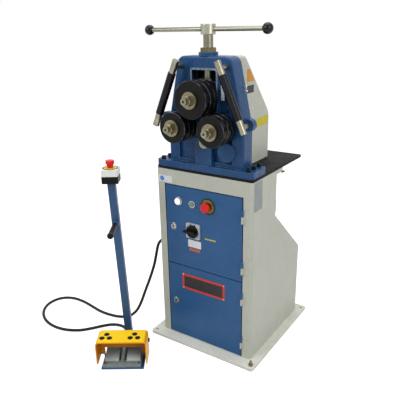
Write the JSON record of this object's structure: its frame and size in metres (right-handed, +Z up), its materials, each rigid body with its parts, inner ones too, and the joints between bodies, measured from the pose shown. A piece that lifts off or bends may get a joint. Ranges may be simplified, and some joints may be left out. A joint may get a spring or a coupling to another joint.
{
  "type": "ring roller",
  "caption": "Floor-standing ring roller: screw-fed top roll over two geared lower rolls on a sheet cabinet, with door controls, a foot switch under a guard and a stop button on a pole.",
  "frame": {"origin": "centre of the base plate's underside", "axes": "+Z up, -Y to the front with the doors and the roll faces, +X to the operator's right"},
  "size_m": [1.1025, 0.8702, 1.307],
  "materials": {
    "base_paint": "satin paint",
    "cabinet_paint": "satin paint",
    "table_black": "satin black",
    "casting_blue": "gloss paint over a casting",
    "carriage_blue": "gloss paint over a casting",
    "door_blue": "satin paint",
    "pole_blue": "satin paint",
    "pedal_blue": "satin paint",
    "black_steel": "blackened",
    "roll_steel": "blackened, bright edges",
    "bright_steel": "turned",
    "gear_steel": "machined and oiled",
    "zinc": "zinc plated",
    "bearing_bronze": "turned bronze",
    "motor_grey": "satin paint",
    "panel_steel": "zinc plated plate with plastic blocks",
    "switch_grey": "hammered grey paint",
    "pedal_grey": "satin paint",
    "guard_yellow": "satin paint",
    "black_plastic": "matt",
    "ball_black": "gloss",
    "lock_chrome": "polished",
    "box_lid": "satin",
    "bezel_metal": "satin",
    "plate_grey": "satin",
    "push_cap": "satin",
    "stop_red": "satin",
    "knob_black": "satin",
    "cable_rubber": "matt"
  },
  "bodies": {
    "frame": {"base_plate": "base_paint", "levelling_screw": "zinc", "cabinet_shell": "cabinet_paint", "cabinet_rear_panel": "cabinet_paint", "cabinet_shelf": "cabinet_paint", "table": "table_black", "table_gussets": "cabinet_paint", "door_hinge_pins": "bright_steel", "head_casting": "casting_blue", "head_bolts": "black_steel", "screw_nut": "bearing_bronze", "lower_bearings": "bright_steel", "drive_bush": "bearing_bronze", "guide_bars": "bright_steel", "guide_sleeves": "black_plastic", "rear_cover": "cabinet_paint", "gearmotor": "motor_grey", "electrical_panel": "panel_steel", "foot_base_plate": "pedal_blue", "foot_housing": "switch_grey", "pedal_pin": "bright_steel", "pedal_guard": "guard_yellow", "guard_screws": "black_plastic", "pole": "pole_blue", "pole_grip": "black_plastic", "station_box_base": "black_plastic", "station_box_lid": "box_lid", "cable_glands": "black_plastic", "cable": "cable_rubber"},
    "upper_door": {"upper_door": "door_blue", "control_bezels": "bezel_metal", "switch_plate": "plate_grey"},
    "push_button": {"push_button": "push_cap"},
    "stop_button": {"stop_button": "stop_red"},
    "switch_knob": {"switch_knob": "knob_black"},
    "upper_lock": {"upper_lock": "lock_chrome"},
    "lower_door": {"lower_door": "door_blue"},
    "lower_lock": {"lower_lock": "lock_chrome"},
    "carriage": {"carriage": "carriage_blue", "top_bearings": "bright_steel", "screw_keeper": "bright_steel"},
    "screw": {"lead_screw": "bright_steel", "handle_hub": "bright_steel", "handle_bar": "bright_steel", "handle_knobs": "ball_black"},
    "top_roll": {"top_shaft": "bright_steel", "top_roll_set": "roll_steel", "top_fasteners": "zinc"},
    "left_roll": {"left_shaft": "bright_steel", "left_roll_set": "roll_steel", "left_fasteners": "zinc", "left_gear": "gear_steel"},
    "right_roll": {"right_shaft": "bright_steel", "right_roll_set": "roll_steel", "right_fasteners": "zinc", "right_gear": "gear_steel"},
    "drive_gear": {"drive_gear": "gear_steel"},
    "left_pedal": {"left_pedal": "pedal_grey"},
    "right_pedal": {"right_pedal": "pedal_grey"},
    "station_button": {"station_button": "stop_red"}
  },
  "joints": [
    {"name": "upper_door_hinge", "type": "hinge", "parent": "frame", "child": "upper_door", "pos_m": [0.179, -0.2305, 0.53], "axis": [0, 0, 1], "range_deg": [0, 100]},
    {"name": "lower_door_hinge", "type": "hinge", "parent": "frame", "child": "lower_door", "pos_m": [0.179, -0.2305, 0.19], "axis": [0, 0, 1], "range_deg": [0, 100]},
    {"name": "push_button_press", "type": "slide", "parent": "upper_door", "child": "push_button", "axis": [0, 1, 0], "range_m": [0, 0.004], "stiffness_N_per_m": 500, "springref_m": -0.001},
    {"name": "stop_button_press", "type": "slide", "parent": "upper_door", "child": "stop_button", "axis": [0, 1, 0], "range_m": [0, 0.006], "stiffness_N_per_m": 900, "springref_m": -0.001},
    {"name": "switch_turn", "type": "hinge", "parent": "upper_door", "child": "switch_knob", "pos_m": [-0.0445, -0.234, 0.525], "axis": [0, 1, 0], "range_deg": [0, 90]},
    {"name": "upper_lock_turn", "type": "hinge", "parent": "upper_door", "child": "upper_lock", "pos_m": [-0.144, -0.226, 0.526], "axis": [0, 1, 0], "range_deg": [0, 90]},
    {"name": "lower_lock_turn", "type": "hinge", "parent": "lower_door", "child": "lower_lock", "pos_m": [-0.144, -0.226, 0.178], "axis": [0, 1, 0], "range_deg": [0, 90]},
    {"name": "carriage_slide", "type": "slide", "parent": "frame", "child": "carriage", "axis": [0, 0, 1], "range_m": [-0.008, 0.029]},
    {"name": "screw_turn", "type": "hinge", "parent": "carriage", "child": "screw", "pos_m": [0, -0.17, 1.2], "axis": [0, 0, 1], "range_deg": [-576, 2088]},
    {"name": "top_roll_spin", "type": "hinge", "parent": "carriage", "child": "top_roll", "pos_m": [0, -0.17, 1.054], "axis": [0, 1, 0], "continuous": true},
    {"name": "right_roll_spin", "type": "hinge", "parent": "frame", "child": "right_roll", "pos_m": [0.082, -0.17, 0.949], "axis": [0, 1, 0], "continuous": true},
    {"name": "left_roll_spin", "type": "hinge", "parent": "frame", "child": "left_roll", "pos_m": [-0.082, -0.17, 0.949], "axis": [0, 1, 0], "continuous": true},
    {"name": "drive_gear_spin", "type": "hinge", "parent": "frame", "child": "drive_gear", "pos_m": [0, -0.17, 0.885], "axis": [0, 1, 0], "continuous": true},
    {"name": "left_pedal_press", "type": "hinge", "parent": "frame", "child": "left_pedal", "pos_m": [-0.24917, -0.53689, 0.0175], "axis": [-0.8348, -0.5505, 0], "range_deg": [0, 8], "stiffness_Nm_per_rad": 6, "springref_deg": -8.59},
    {"name": "right_pedal_press", "type": "hinge", "parent": "frame", "child": "right_pedal", "pos_m": [-0.17571, -0.48845, 0.0175], "axis": [-0.8348, -0.5505, 0], "range_deg": [0, 8], "stiffness_Nm_per_rad": 6, "springref_deg": -8.59},
    {"name": "station_button_press", "type": "slide", "parent": "frame", "child": "station_button", "axis": [0, 0, -1], "range_m": [0, 0.006], "stiffness_N_per_m": 900, "springref_m": -0.002}
  ],
  "couplings": [
    {"joint": "carriage_slide", "follows": "screw_turn", "m_per_rad": 0.00079577},
    {"joint": "left_roll_spin", "follows": "right_roll_spin", "ratio": 1},
    {"joint": "drive_gear_spin", "follows": "right_roll_spin", "ratio": -1.1667}
  ]
}
